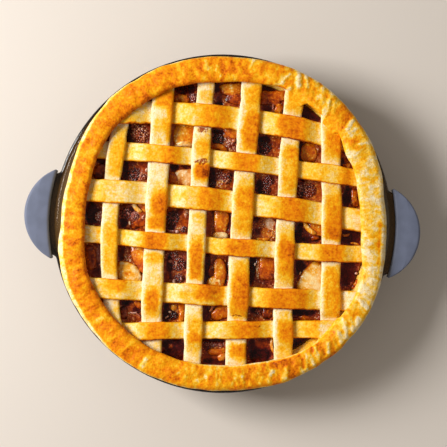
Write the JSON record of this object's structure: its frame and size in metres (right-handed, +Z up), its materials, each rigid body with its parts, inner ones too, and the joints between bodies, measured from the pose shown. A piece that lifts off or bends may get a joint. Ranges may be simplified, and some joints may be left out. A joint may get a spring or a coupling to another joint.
{
  "type": "lattice fruit pie in a glass dish",
  "caption": "Round baked pie with a woven pastry lattice, a rolled crust rim and a dark fruit filling, in its own clear glass dish with two soft grips.",
  "frame": {"origin": "centre of the dish's flat underside", "axes": "+X through the right grip, +Y away from the viewer across the dish, +Z up out of the pie"},
  "size_m": [0.292, 0.25, 0.0534],
  "materials": {
    "glass": "clear pressed soda-lime glass, fire polished",
    "silicone": "slate blue-grey moulded silicone, matt",
    "crust": "baked shortcrust pastry with an egg glaze, golden to orange on top and pale cream on its sides",
    "lattice": "baked pastry strips with an egg glaze, browned where they rise and pale where they dip",
    "filling": "glossy dark fruit syrup with berries and cooked apple slices"
  },
  "bodies": {
    "root": {"dish": "glass", "grip_right": "silicone", "grip_left": "silicone", "crust": "crust", "filling": "filling", "strip_along_y_1": "lattice", "strip_along_y_2": "lattice", "strip_along_y_3": "lattice", "strip_along_y_4": "lattice", "strip_along_y_5": "lattice", "strip_along_y_6": "lattice", "strip_along_x_1": "lattice", "strip_along_x_2": "lattice", "strip_along_x_3": "lattice", "strip_along_x_4": "lattice", "strip_along_x_5": "lattice", "strip_along_x_6": "lattice"}
  },
  "joints": []
}
